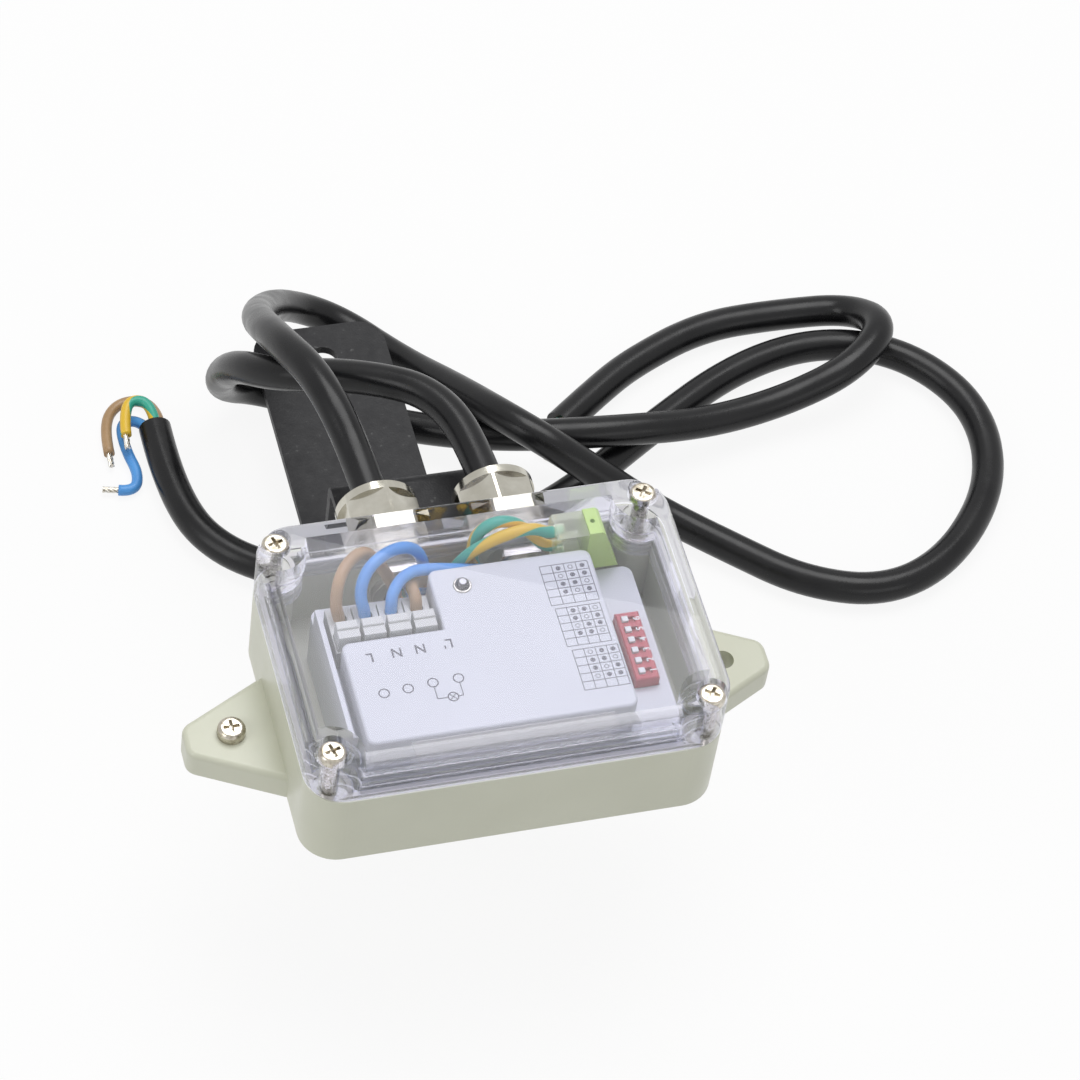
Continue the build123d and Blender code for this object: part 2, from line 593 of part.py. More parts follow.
def build():
    os.makedirs("parts", exist_ok=True)
    save("base", make_base())
    save("gasket", make_gasket())
    save("lid", make_lid())
    save("lid_screws", make_lid_screws())
    save("lug_screw", make_lug_screw())
    save("gland_bodies", make_gland_bodies())
    save("gland_washers", make_gland_washers())
    save("gland_seals", make_gland_seals())
    save("gland_locknuts", make_gland_locknuts())
    save("dome_nut_left", make_dome_nut(GLAND_X[0], 38))
    save("dome_nut_right", make_dome_nut(GLAND_X[1], 22))
    save("bracket", make_bracket())
    save("bracket_screws", make_bracket_screws())
    save("bracket_nuts", make_bracket_nuts())
    save("module_tray", make_tray())
    save("module_cover", make_cover())
    save("circuit_board", make_board())
    save("relay", make_relay())
    save("antenna_board", make_antenna())
    save("terminal_block", make_terminals())
    for i in range(4):
        save("terminal_button_%d" % (i + 1), make_terminal_button(i))
    save("dip_body", make_dip_body())
    for i in range(DIP_COUNT):
        save("dip_slider_%d" % (i + 1), make_slider(i))
    save("light_sensor", make_lens())
    save("label_plate", make_label())
    save("splice_clear", make_splice(True))
    save("splice_cap", make_splice(False))
    for name, points in INNER_WIRES.items():
        save(name, tube(name, points, CORE_D))
    save("cable_left", tube("cable_left", LEFT_ROUTE, CABLE_D))
    save("cable_right", tube("cable_right", RIGHT_ROUTE, CABLE_D))
    for name, points in END_CORES.items():
        save(name, tube(name, points, CORE_D))
    for side in ("left", "right"):
        tips = [bare_tip(p, 3.6) for n, p in END_CORES.items() if n.startswith(side)]
        save(side + "_end_tips", Compound(children=tips))


build()
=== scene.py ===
import math

import bpy
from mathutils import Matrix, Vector


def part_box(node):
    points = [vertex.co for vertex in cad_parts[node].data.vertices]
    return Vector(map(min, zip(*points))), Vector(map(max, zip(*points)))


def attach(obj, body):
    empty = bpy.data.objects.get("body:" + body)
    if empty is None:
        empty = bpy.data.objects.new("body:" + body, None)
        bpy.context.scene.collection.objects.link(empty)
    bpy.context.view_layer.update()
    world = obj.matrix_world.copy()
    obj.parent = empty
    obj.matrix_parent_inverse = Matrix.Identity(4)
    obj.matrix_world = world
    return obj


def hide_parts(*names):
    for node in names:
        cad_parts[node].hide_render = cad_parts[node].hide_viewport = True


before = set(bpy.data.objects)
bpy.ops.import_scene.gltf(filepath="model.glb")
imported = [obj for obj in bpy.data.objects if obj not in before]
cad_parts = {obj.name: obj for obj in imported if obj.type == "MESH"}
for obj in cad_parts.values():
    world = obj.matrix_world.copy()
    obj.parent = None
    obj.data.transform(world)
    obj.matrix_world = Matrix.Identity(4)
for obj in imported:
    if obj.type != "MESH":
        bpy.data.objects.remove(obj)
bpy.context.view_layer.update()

SHEATH_R = 0.00355       # cable sheath
CORE_R = 0.0012          # insulated core
STRANDS = 7              # tinned wires in a bare tip
STRAND_R = 0.00023
STRAND_LAY_R = 0.00047   # how far the outer six lie from the middle one
STRAND_STEPS = 7         # points along one wire
STRAND_STEP = 0.0006
STRAND_SUNK = 0.0002     # the first point lies this far inside the insulation
STRAND_TWIST = 0.55      # turn from one point to the next, in radians
TABLE_Z = -0.0105        # what the cables lie on

INK_LIFT = 0.00002       # print lies just proud of what it is on
INK_T = 0.00006
RULE_T = 0.00005
LINE_W = 0.00018         # drawn lines of the wiring sign
CROSS_W = 0.00016        # the two strokes inside the lamp sign
CROSS_LENGTH = 0.0019
RULE_W = 0.00014         # ruled lines of the tables
LETTER_SIZE = 0.0030
DIGIT_SIZE = 0.0020
RING_R = 0.0010
RING_LINE_R = 0.00013
DOT_R = 0.00050
OPEN_DOT_R = 0.00044
OPEN_DOT_LINE_R = 0.00007
FLATTENED = (1, 1, 0.4)  # round print pressed almost flat
SENSOR_RING_Z = 0.0601
DIGIT_INSET = 0.00076    # digits stand this far in from the switch block's edge
SWITCH_PITCH = 0.00254
SWITCH_COUNT = 6
BUTTON_COUNT = 4

# Routes of the two cable tails, from inside the gland to the end of the sheath.
LEFT_TAIL = [
    (-0.0095, -0.0926, 0.0465), (-0.0095, -0.0701, 0.0465), (-0.0143, -0.048, 0.0533),
    (-0.0202, -0.0286, 0.0466), (-0.0178, -0.0036, 0.024), (-0.0064, 0.0174, 0.0025),
    (0.0075, 0.0187, -0.0069), (0.0193, 0.0035, -0.0069), (0.0269, -0.0131, 0.0017),
    (0.0334, -0.029, 0.0094), (0.0409, -0.0376, 0.0095), (0.0516, -0.0427, 0.0025),
    (0.0639, -0.0486, -0.0055), (0.077, -0.0596, -0.0069), (0.0914, -0.0728, -0.0069),
    (0.1092, -0.0784, -0.0069), (0.1266, -0.0711, -0.0069), (0.142, -0.0523, -0.0069),
    (0.1449, -0.0307, -0.0069), (0.1335, -0.0131, -0.0069), (0.1151, -0.0063, -0.0069),
    (0.0935, -0.0106, -0.0069), (0.0694, -0.0249, -0.0069), (0.0442, -0.0419, -0.0069),
    (0.0147, -0.0519, -0.0069), (-0.0164, -0.0522, -0.0069), (-0.0331, -0.0412, -0.0069),
    (-0.0389, -0.0237, -0.0069), (-0.0387, -0.006, -0.0069)]
RIGHT_TAIL = [
    (0.0148, -0.0926, 0.0465), (0.0148, -0.0716, 0.0465), (0.0107, -0.0504, 0.0466),
    (-0.0039, -0.0396, 0.043), (-0.0194, -0.032, 0.0372), (-0.0261, -0.0184, 0.0265),
    (-0.0247, -0.0036, 0.0016), (-0.0135, 0.001, -0.0069), (0.0049, -0.0097, -0.0069),
    (0.02, -0.0195, -0.004), (0.0378, -0.0285, 0.0012), (0.06, -0.0309, 0.0015),
    (0.0806, -0.029, -0.0025), (0.1001, -0.025, -0.0035), (0.1165, -0.0224, 0.0018),
    (0.1277, -0.012, 0.0028), (0.124, 0.0008, -0.0054), (0.107, 0.003, -0.0069),
    (0.0889, 0.0023, -0.0069), (0.0707, -0.0055, -0.0069), (0.0601, -0.0126, -0.0069),
    (0.0497, -0.0206, -0.0069)]
# Insulated cores inside the box, gland to terminal or splice.
INNER_CORES = {
    "wire_brown_left": [
        (-0.0108, -0.0926, 0.0472), (-0.0111, -0.1024, 0.0475), (-0.0123, -0.1022, 0.053),
        (-0.0161, -0.1014, 0.0606), (-0.0191, -0.1012, 0.0643), (-0.0233, -0.1044, 0.0645),
        (-0.0257, -0.1082, 0.0636), (-0.0264, -0.1106, 0.0596), (-0.02536, -0.1112, 0.0562),
        (-0.02536, -0.1112, 0.0524)],
    "wire_blue_left": [
        (-0.0082, -0.0926, 0.0472), (-0.0082, -0.1026, 0.0472), (-0.0063, -0.1027, 0.0498),
        (-0.0058, -0.101, 0.0536), (-0.0063, -0.1004, 0.0574), (-0.0083, -0.1008, 0.0618),
        (-0.0119, -0.1018, 0.0644), (-0.0163, -0.1036, 0.0645), (-0.0199, -0.1066, 0.064),
        (-0.0215, -0.1096, 0.061), (-0.02028, -0.1112, 0.0568), (-0.02028, -0.1112, 0.0524)],
    "wire_earth_left": [
        (-0.0095, -0.0926, 0.045), (-0.0093, -0.103, 0.045), (-0.0043, -0.103, 0.0446),
        (-0.0005, -0.1009, 0.0488), (0.0003, -0.10085, 0.0544), (0.0037, -0.1019, 0.0604),
        (0.0095, -0.102, 0.0638), (0.0153, -0.1016, 0.0642), (0.0187, -0.1013, 0.0613),
        (0.0215, -0.1013, 0.0613)],
    "wire_brown_right": [
        (0.0135, -0.0926, 0.0472), (0.0133, -0.103, 0.0475), (0.0075, -0.1033, 0.0496),
        (0.0001, -0.1036, 0.0522), (-0.0075, -0.1036, 0.055), (-0.0103, -0.1062, 0.0576),
        (-0.01012, -0.1096, 0.0586), (-0.01012, -0.1112, 0.0566), (-0.01012, -0.1112, 0.0524)],
    "wire_blue_right": [
        (0.0161, -0.0926, 0.0472), (0.016, -0.103, 0.0477), (0.0127, -0.1032, 0.0536),
        (0.0041, -0.10365, 0.0558), (-0.0077, -0.1035, 0.0588), (-0.0121, -0.1062, 0.0606),
        (-0.0149, -0.1094, 0.0598), (-0.0152, -0.1112, 0.0568), (-0.0152, -0.1112, 0.0524)],
    "wire_earth_right": [
        (0.0148, -0.0926, 0.0452), (0.0146, -0.1026, 0.0448), (0.0105, -0.1025, 0.0446),
        (0.0057, -0.1012, 0.0488), (0.0041, -0.0992, 0.0548), (0.0041, -0.0992, 0.0606),
        (0.0067, -0.0993, 0.0644), (0.0109, -0.0991, 0.0644), (0.0147, -0.0997, 0.0614),
        (0.0175, -0.101, 0.0578), (0.0199, -0.1013, 0.0569), (0.0217, -0.1013, 0.0569)]}
# Bared cores at the far ends of the two tails.
END_CORES = {
    "left_end_earth": [
        (-0.0387, -0.006, -0.0054), (-0.0385, -0.0004, -0.005), (-0.0431, 0.001, -0.0046),
        (-0.0451, -0.0038, -0.0052), (-0.0455, -0.0082, -0.0056)],
    "left_end_blue": [
        (-0.04, -0.006, -0.0077), (-0.0413, -0.002, -0.0086), (-0.0457, -0.0018, -0.0088),
        (-0.0458, -0.0096, -0.009), (-0.0443, -0.0166, -0.0091), (-0.0461, -0.0212, -0.0091),
        (-0.0495, -0.0202, -0.0091)],
    "left_end_brown": [
        (-0.0374, -0.006, -0.0077), (-0.0369, -0.0012, -0.0082), (-0.0395, 0.004, -0.0089),
        (-0.0455, 0.0038, -0.0091), (-0.0493, -0.002, -0.0091), (-0.0495, -0.01, -0.0091)],
    "right_end_earth": [(0.0497, -0.0206, -0.0054), (0.0477, -0.0222, -0.0060), (0.0461, -0.0237, -0.0069)],
    "right_end_blue": [(0.0505, -0.0217, -0.0077), (0.0487, -0.0231, -0.0083), (0.0473, -0.0247, -0.0090)],
    "right_end_brown": [(0.0489, -0.0195, -0.0077), (0.0470, -0.0208, -0.0083), (0.0451, -0.0218, -0.0090)]}


# ------------------------------------------------------------------ finishes
def new_finish(name, colour, roughness, metallic=0.0):
    mat = bpy.data.materials.new(name)
    mat.use_nodes = True
    shader = mat.node_tree.nodes["Principled BSDF"]
    shader.inputs["Base Color"].default_value = (*colour, 1)
    shader.inputs["Roughness"].default_value = roughness
    shader.inputs["Metallic"].default_value = metallic
    return mat, shader


def reckon(tree, operation, first, second=None):
    # one Math node; each input is a socket or a number
    node = tree.nodes.new("ShaderNodeMath")
    node.operation = operation
    for socket, value in zip(node.inputs, (first, second)):
        if isinstance(value, bpy.types.NodeSocket):
            tree.links.new(value, socket)
        elif value is not None:
            socket.default_value = value
    return node.outputs["Value"]


def effect(name, wants, gives):
    # an empty node group with named inputs and outputs
    tree = bpy.data.node_groups.new(name, "ShaderNodeTree")
    for label, kind in wants:
        tree.interface.new_socket(label, in_out="INPUT", socket_type="NodeSocket" + kind)
    for label, kind in gives:
        tree.interface.new_socket(label, in_out="OUTPUT", socket_type="NodeSocket" + kind)
    start = tree.nodes.new("NodeGroupInput")
    end = tree.nodes.new("NodeGroupOutput")
    return tree, start.outputs, end.inputs


def grain(tree, scale, detail, stretch=None):
    # noise fixed to the piece; the detail is a number or a socket, the scale and the stretch are sockets
    place = tree.nodes.new("ShaderNodeTexCoord")
    out = place.outputs["Object"]
    if stretch:
        turn = tree.nodes.new("ShaderNodeMapping")
        tree.links.new(stretch, turn.inputs["Scale"])
        tree.links.new(out, turn.inputs["Vector"])
        out = turn.outputs["Vector"]
    noise = tree.nodes.new("ShaderNodeTexNoise")
    tree.links.new(scale, noise.inputs["Scale"])
    if isinstance(detail, bpy.types.NodeSocket):
        tree.links.new(detail, noise.inputs["Detail"])
    else:
        noise.inputs["Detail"].default_value = detail
    tree.links.new(out, noise.inputs["Vector"])
    return noise.outputs["Fac"]


def band(tree, value, low, high):
    # 0 below low, 1 above high
    node = tree.nodes.new("ShaderNodeMapRange")
    node.inputs["From Min"].default_value = low
    node.inputs["From Max"].default_value = high
    tree.links.new(value, node.inputs["Value"])
    return node


def blend(tree, share, first, second):
    # one colour passing into another; a colour is a socket or three numbers
    node = tree.nodes.new("ShaderNodeMix")
    node.data_type = "RGBA"
    tree.links.new(share, node.inputs["Factor"])
    for spot, colour in ((6, first), (7, second)):
        if isinstance(colour, bpy.types.NodeSocket):
            tree.links.new(colour, node.inputs[spot])
        else:
            node.inputs[spot].default_value = (*colour, 1)
    return node.outputs[2]


def mottle_effect():
    # colour wanders between two shades of the same stuff
    tree, wants, gives = effect(
        "mottle", (("Light", "Color"), ("Dark", "Color"), ("Scale", "Float"), ("Detail", "Float")),
        (("Color", "Color"), ("Grain", "Float")))
    noise = grain(tree, wants["Scale"], wants["Detail"])
    share = band(tree, noise, 0.35, 0.65).outputs["Result"]
    tree.links.new(blend(tree, share, wants["Dark"], wants["Light"]), gives["Color"])
    tree.links.new(noise, gives["Grain"])
    return tree


def wear_effect():
    # roughness wanders between a smooth and a rough value
    tree, wants, gives = effect(
        "wear", (("Smooth", "Float"), ("Rough", "Float"), ("Scale", "Float")),
        (("Roughness", "Float"),))
    worn = band(tree, grain(tree, wants["Scale"], 5.0), 0.3, 0.7)
    tree.links.new(wants["Smooth"], worn.inputs["To Min"])
    tree.links.new(wants["Rough"], worn.inputs["To Max"])
    tree.links.new(worn.outputs["Result"], gives["Roughness"])
    return tree


def relief_effect():
    # fine unevenness of the surface
    tree, wants, gives = effect(
        "relief", (("Scale", "Float"), ("Strength", "Float"), ("Depth", "Float"), ("Stretch", "Vector")),
        (("Normal", "Vector"),))
    bump = tree.nodes.new("ShaderNodeBump")
    tree.links.new(wants["Strength"], bump.inputs["Strength"])
    tree.links.new(wants["Depth"], bump.inputs["Distance"])
    tree.links.new(grain(tree, wants["Scale"], 3.0, wants["Stretch"]), bump.inputs["Height"])
    tree.links.new(bump.outputs["Normal"], gives["Normal"])
    return tree


MOTTLE = mottle_effect()
WEAR = wear_effect()
RELIEF = relief_effect()


def placed(mat, group, **values):
    # the effect in this material, with the material's own values
    node = mat.node_tree.nodes.new("ShaderNodeGroup")
    node.node_tree = group
    for label, value in values.items():
        node.inputs[label].default_value = value
    return node


def mottle(mat, shader, light, dark, scale, detail=4.0):
    node = placed(mat, MOTTLE, Light=(*light, 1), Dark=(*dark, 1), Scale=scale, Detail=detail)
    mat.node_tree.links.new(node.outputs["Color"], shader.inputs["Base Color"])
    return node


def wear(mat, shader, smooth, rough, scale):
    node = placed(mat, WEAR, Smooth=smooth, Rough=rough, Scale=scale)
    mat.node_tree.links.new(node.outputs["Roughness"], shader.inputs["Roughness"])


def relief(mat, shader, scale, strength, depth=0.0002, stretch=(1, 1, 1)):
    node = placed(mat, RELIEF, Scale=scale, Strength=strength, Depth=depth, Stretch=stretch)
    mat.node_tree.links.new(node.outputs["Normal"], shader.inputs["Normal"])


def moulded(name, light, dark, roughness, grain_scale=1400, strength=0.08):
    mat, shader = new_finish(name, light, roughness)
    mottle(mat, shader, light, dark, 60)
    wear(mat, shader, roughness * 0.85, roughness * 1.15, 240)
    relief(mat, shader, grain_scale, strength)
    return mat, shader


def beige_shell():
    mat, shader = moulded("beige shell", (0.635, 0.645, 0.525), (0.605, 0.615, 0.495), 0.38, 900, 0.10)
    shader.inputs["Coat Weight"].default_value = 0.15
    shader.inputs["Coat Roughness"].default_value = 0.25
    return mat


def clear_lid():
    mat, shader = new_finish("clear lid", (0.95, 0.95, 1.0), 0.04)
    shader.inputs["Transmission Weight"].default_value = 1.0
    shader.inputs["IOR"].default_value = 1.30
    wear(mat, shader, 0.001, 0.006, 300)
    relief(mat, shader, 120, 0.004, 0.0001)
    let_light_through(mat, shader, (0.94, 0.94, 0.985), 0.5)
    return mat


def let_light_through(mat, shader, tint, edge_share=0.0):
    # light that crosses clear plastic reaches what is under it, once; upright walls also
    # let a share of what is seen go straight through, as thin walls do
    tree = mat.node_tree
    path = tree.nodes.new("ShaderNodeLightPath")
    # above 0 only for mirrored rays: glossy ones that did not come through plastic
    mirrored = reckon(tree, "SUBTRACT", path.outputs["Is Glossy Ray"], path.outputs["Is Transmission Ray"])
    straight = reckon(tree, "MAXIMUM", path.outputs["Is Shadow Ray"], path.outputs["Is Diffuse Ray"])
    straight = reckon(tree, "MAXIMUM", straight, mirrored)
    form = tree.nodes.new("ShaderNodeNewGeometry")
    split = tree.nodes.new("ShaderNodeSeparateXYZ")
    tree.links.new(form.outputs["True Normal"], split.inputs["Vector"])
    upright = tree.nodes.new("ShaderNodeMapRange")
    upright.inputs["To Min"].default_value = edge_share
    upright.inputs["To Max"].default_value = 0.0
    tree.links.new(reckon(tree, "ABSOLUTE", split.outputs["Z"]), upright.inputs["Value"])
    share = reckon(tree, "MAXIMUM", straight, upright.outputs["Result"])
    clear = tree.nodes.new("ShaderNodeBsdfTransparent")
    clear.inputs["Color"].default_value = (*tint, 1)
    mix = tree.nodes.new("ShaderNodeMixShader")
    out = tree.nodes["Material Output"]
    tree.links.new(share, mix.inputs["Fac"])
    tree.links.new(shader.outputs["BSDF"], mix.inputs[1])
    tree.links.new(clear.outputs["BSDF"], mix.inputs[2])
    tree.links.new(mix.outputs["Shader"], out.inputs["Surface"])


def nickel_plate():
    mat, shader = new_finish("nickel plate", (0.62, 0.60, 0.53), 0.14, 1.0)
    mottle(mat, shader, (0.64, 0.62, 0.55), (0.52, 0.50, 0.43), 180)
    wear(mat, shader, 0.10, 0.24, 420)
    relief(mat, shader, 900, 0.05, 0.0001, stretch=(1, 3, 1))
    return mat


def plated_screw():
    mat, shader = new_finish("plated screw", (0.60, 0.56, 0.47), 0.24, 1.0)
    mottle(mat, shader, (0.68, 0.64, 0.56), (0.36, 0.32, 0.25), 700)
    wear(mat, shader, 0.14, 0.34, 900)
    relief(mat, shader, 1500, 0.25, 0.0001)
    return mat


def black_sheath():
    mat, shader = new_finish("black sheath", (0.008, 0.008, 0.009), 0.3)
    shader.inputs["Specular IOR Level"].default_value = 0.32
    mottle(mat, shader, (0.011, 0.011, 0.012), (0.006, 0.006, 0.007), 90)
    wear(mat, shader, 0.22, 0.36, 160)
    relief(mat, shader, 700, 0.10, 0.0002)
    return mat


def black_rubber():
    return moulded("black rubber", (0.022, 0.022, 0.022), (0.014, 0.014, 0.014), 0.6, 1800, 0.2)[0]


def powder_coat():
    mat, shader = new_finish("black powder coat", (0.016, 0.016, 0.017), 0.48)
    shader.inputs["Specular IOR Level"].default_value = 0.3
    node = mottle(mat, shader, (0.024, 0.024, 0.026), (0.016, 0.016, 0.018), 500, 6.0)
    tree = mat.node_tree
    share = band(tree, node.outputs["Grain"], 0.65, 0.74).outputs["Result"]
    dusty = blend(tree, share, node.outputs["Color"], (0.10, 0.10, 0.10))
    tree.links.new(dusty, shader.inputs["Base Color"])
    wear(mat, shader, 0.40, 0.56, 300)
    relief(mat, shader, 2200, 0.35, 0.0002)
    return mat


def module_white():
    return moulded("module white", (0.62, 0.637, 0.66), (0.595, 0.612, 0.635), 0.34, 700, 0.025)[0]


def gasket_pale():
    return moulded("pale gasket", (0.74, 0.73, 0.66), (0.68, 0.67, 0.60), 0.55, 1200, 0.1)[0]


def terminal_cream():
    return moulded("terminal cream", (0.60, 0.61, 0.58), (0.56, 0.57, 0.53), 0.42, 1500, 0.08)[0]


def switch_red():
    return moulded("switch red", (0.50, 0.025, 0.05), (0.43, 0.018, 0.04), 0.35, 1800, 0.08)[0]


def switch_white():
    return moulded("switch white", (0.80, 0.80, 0.79), (0.74, 0.74, 0.73), 0.4, 1800, 0.08)[0]


def board_green():
    mat, shader = new_finish("board green", (0.03, 0.16, 0.07), 0.35)
    tree = mat.node_tree
    place = tree.nodes.new("ShaderNodeTexCoord")
    tracks = tree.nodes.new("ShaderNodeTexBrick")
    tracks.inputs["Scale"].default_value = 260
    tracks.inputs["Color1"].default_value = (0.028, 0.15, 0.065, 1)
    tracks.inputs["Color2"].default_value = (0.035, 0.18, 0.08, 1)
    tracks.inputs["Mortar"].default_value = (0.05, 0.24, 0.11, 1)
    tree.links.new(place.outputs["Object"], tracks.inputs["Vector"])
    tree.links.new(tracks.outputs["Color"], shader.inputs["Base Color"])
    wear(mat, shader, 0.28, 0.42, 400)
    return mat


def relay_black():
    return moulded("relay black", (0.03, 0.03, 0.032), (0.022, 0.022, 0.024), 0.35, 1600, 0.08)[0]


def smoked_lens():
    mat, shader = new_finish("smoked lens", (0.02, 0.018, 0.022), 0.08)
    mottle(mat, shader, (0.024, 0.022, 0.028), (0.012, 0.011, 0.014), 300)
    wear(mat, shader, 0.05, 0.12, 500)
    shader.inputs["Coat Weight"].default_value = 0.6
    return mat


def blank_label():
    return moulded("blank label", (0.80, 0.80, 0.79), (0.77, 0.77, 0.76), 0.5, 2000, 0.05)[0]


def splice_clear():
    mat, shader = new_finish("clear splice", (0.86, 0.90, 0.70), 0.10)
    shader.inputs["Transmission Weight"].default_value = 0.7
    shader.inputs["IOR"].default_value = 1.3
    wear(mat, shader, 0.04, 0.12, 300)
    let_light_through(mat, shader, (0.93, 0.96, 0.86), 0.5)
    return mat


def splice_lime():
    mat, shader = moulded("lime splice", (0.56, 0.78, 0.22), (0.50, 0.70, 0.17), 0.25, 1400, 0.05)
    shader.inputs["Subsurface Weight"].default_value = 0.25
    shader.inputs["Subsurface Radius"].default_value = (0.002, 0.002, 0.001)
    return mat


def core_finish(name, light, dark):
    mat, shader = new_finish(name, light, 0.38)
    mottle(mat, shader, light, dark, 220)
    wear(mat, shader, 0.32, 0.46, 500)
    relief(mat, shader, 1200, 0.06)
    return mat


def striped_core(turns_per_metre=45.0):
    # yellow insulation with a green stripe that winds slowly round it
    mat, shader = new_finish("green and yellow core", (0.78, 0.50, 0.05), 0.38)
    tree = mat.node_tree
    uv = tree.nodes.new("ShaderNodeUVMap")
    uv.uv_map = "around_and_along"
    split = tree.nodes.new("ShaderNodeSeparateXYZ")
    tree.links.new(uv.outputs["UV"], split.inputs["Vector"])
    wind = reckon(tree, "MULTIPLY", split.outputs["Y"], turns_per_metre)
    turned = reckon(tree, "FRACT", reckon(tree, "ADD", split.outputs["X"], wind))
    ramp = tree.nodes.new("ShaderNodeValToRGB")
    ramp.color_ramp.elements[0].position = 0.0
    ramp.color_ramp.elements[0].color = (0.04, 0.42, 0.30, 1)
    ramp.color_ramp.elements[1].position = 0.43
    ramp.color_ramp.elements[1].color = (0.04, 0.42, 0.30, 1)
    first = ramp.color_ramp.elements.new(0.45)
    first.color = (0.80, 0.52, 0.04, 1)
    last = ramp.color_ramp.elements.new(0.98)
    last.color = (0.80, 0.52, 0.04, 1)
    tree.links.new(turned, ramp.inputs["Fac"])
    tree.links.new(ramp.outputs["Color"], shader.inputs["Base Color"])
    wear(mat, shader, 0.32, 0.46, 500)
    relief(mat, shader, 1200, 0.06)
    return mat


def tinned_strand():
    mat, shader = new_finish("tinned strand", (0.76, 0.75, 0.72), 0.25, 1.0)
    mottle(mat, shader, (0.80, 0.79, 0.76), (0.62, 0.58, 0.50), 900)
    wear(mat, shader, 0.18, 0.34, 900)
    return mat


def grey_ink():
    return moulded("grey ink", (0.13, 0.13, 0.15), (0.10, 0.10, 0.12), 0.5, 1500, 0.03)[0]


def white_ink():
    return moulded("white ink", (0.86, 0.86, 0.86), (0.80, 0.80, 0.80), 0.5, 1500, 0.03)[0]


# ------------------------------------------------------------------ making
def one_mesh(name, body, finish):
    piece = bpy.context.object
    piece.name = name
    bpy.ops.object.transform_apply(location=True, rotation=True, scale=True)
    piece.data.materials.clear()
    piece.data.materials.append(finish)
    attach(piece, body)
    piece.select_set(False)
    return piece


def clear_selection():
    bpy.ops.object.select_all(action="DESELECT")
    bpy.context.view_layer.objects.active = None


def add_line(data, points, steps=10):
    # one smooth open spline with these points as its control points
    line = data.splines.new("NURBS")
    line.points.add(len(points) - 1)
    for spot, at in zip(line.points, points):
        spot.co = (*at, 1)
    line.order_u = 3
    line.use_endpoint_u = True
    line.resolution_u = steps


def new_curve(name, radius=0.0, roundness=4, finish=None):
    data = bpy.data.curves.new(name, "CURVE")
    data.dimensions = "3D"
    data.bevel_depth = radius
    data.bevel_resolution = roundness
    data.use_fill_caps = radius > 0
    if finish:
        data.materials.append(finish)
    return data


def route_points(points):
    # the smooth line that a cord's control points give
    data = new_curve("route")
    add_line(data, points)
    holder = bpy.data.objects.new("route", data)
    mesh = bpy.data.meshes.new_from_object(holder)
    out = [v.co.copy() for v in mesh.vertices]
    bpy.data.objects.remove(holder)
    bpy.data.meshes.remove(mesh)
    return out


def tube_mesh(name, points, radius, finish, sides=20):
    # round insulation along a route, unwrapped: across is once round, up is metres along
    path = route_points(points)
    across = Vector((0, 0, 1))
    rings = []
    spots = []
    along = [0.0]
    for i, at in enumerate(path):
        way = (path[min(i + 1, len(path) - 1)] - path[max(i - 1, 0)]).normalized()
        across = (across - way * across.dot(way))
        if across.length < 1e-4:
            across = way.orthogonal()
        across.normalize()
        other = way.cross(across)
        if i:
            along.append(along[-1] + (at - path[i - 1]).length)
        ring = []
        for k in range(sides):
            a = 2 * math.pi * k / sides
            ring.append(len(spots))
            spots.append(at + (across * math.cos(a) + other * math.sin(a)) * radius)
        rings.append(ring)
    faces = []
    marks = []
    for i in range(len(rings) - 1):
        for k in range(sides):
            n = (k + 1) % sides
            faces.append((rings[i][k], rings[i][n], rings[i + 1][n], rings[i + 1][k]))
            marks.append([(k / sides, along[i]), ((k + 1) / sides, along[i]),
                          ((k + 1) / sides, along[i + 1]), (k / sides, along[i + 1])])
    faces.append(tuple(reversed(rings[0])))
    marks.append([(0.7, along[0])] * sides)
    faces.append(tuple(rings[-1]))
    marks.append([(0.7, along[-1])] * sides)
    mesh = bpy.data.meshes.new(name)
    mesh.from_pydata([tuple(s) for s in spots], [], faces)
    sheet = mesh.uv_layers.new(name="around_and_along")
    k = 0
    for mark in marks:
        for uv in mark:
            sheet.data[k].uv = uv
            k += 1
    mesh.materials.append(finish)
    for face in mesh.polygons:
        face.use_smooth = len(face.vertices) == 4
    piece = bpy.data.objects.new(name, mesh)
    bpy.context.collection.objects.link(piece)
    return piece, path


def printed_word(name, word, size, at, turn, finish, body):
    clear_selection()
    bpy.ops.object.text_add(location=at, rotation=(0, 0, turn))
    text = bpy.context.object
    text.data.body = word
    text.data.size = size
    text.data.align_x = "CENTER"
    text.data.align_y = "CENTER"
    text.data.extrude = 0.00003
    text.data.offset = size * 0.012
    text.data.resolution_u = 4
    bpy.ops.object.convert(target="MESH")
    return one_mesh(name, body, finish)


def printed_ring(name, radius, at, finish, body):
    clear_selection()
    bpy.ops.mesh.primitive_torus_add(major_radius=radius, minor_radius=RING_LINE_R, location=at,
                                     major_segments=32, minor_segments=8)
    bpy.context.object.scale = FLATTENED
    return one_mesh(name, body, finish)


def bar(at, size):
    # one ruled line of print
    clear_selection()
    bpy.ops.mesh.primitive_cube_add(size=1, location=at)
    bpy.context.object.scale = size
    bpy.ops.object.transform_apply(location=True, rotation=True, scale=True)
    return bpy.context.object


def joined(parts, name, body, finish):
    clear_selection()
    for part in parts:
        part.select_set(True)
    bpy.context.view_layer.objects.active = parts[0]
    bpy.ops.object.join()
    return one_mesh(name, body, finish)


# ------------------------------------------------------------------ camera and studio
def make_camera():
    data = bpy.data.cameras.new("camera")
    data.sensor_width = 36
    data.lens = 142.73
    data.clip_start = 0.05
    eye = bpy.data.objects.new("camera", data)
    eye.location = (-0.17968, -0.59217, 0.71770)
    eye.rotation_euler = (0.670938, -0.101375, -0.254544)
    bpy.context.collection.objects.link(eye)
    bpy.context.scene.camera = eye


